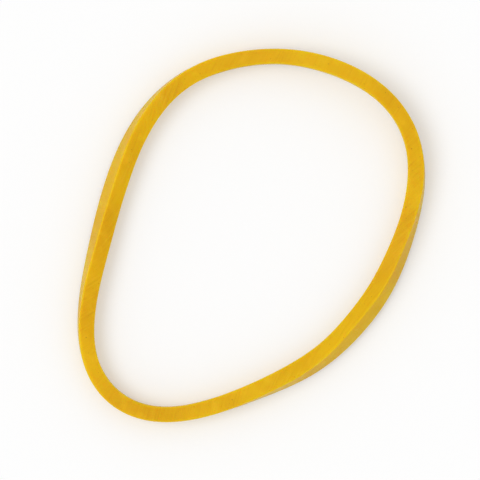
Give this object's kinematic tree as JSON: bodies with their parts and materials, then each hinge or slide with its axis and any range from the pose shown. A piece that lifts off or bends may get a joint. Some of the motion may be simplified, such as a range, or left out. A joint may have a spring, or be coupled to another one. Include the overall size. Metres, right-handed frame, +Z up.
{
  "type": "rubber band",
  "caption": "Small amber natural-rubber band: one closed ring cut from a thin tube, lying relaxed as an egg-shaped loop with its long sides leaning inwards.",
  "frame": {"origin": "on the resting surface, under the middle of the loop's bounding box", "axes": "+X along the loop's longer way across, towards its larger end; +Y across the loop; +Z up out of the resting surface"},
  "size_m": [0.0298, 0.023, 0.0024],
  "materials": {
    "natural_rubber": "amber natural rubber, slightly translucent, satin, with fine knife marks on the cut faces and a faint powdery bloom on the walls"
  },
  "bodies": {
    "root": {"rubber_band": "natural_rubber"}
  },
  "joints": []
}
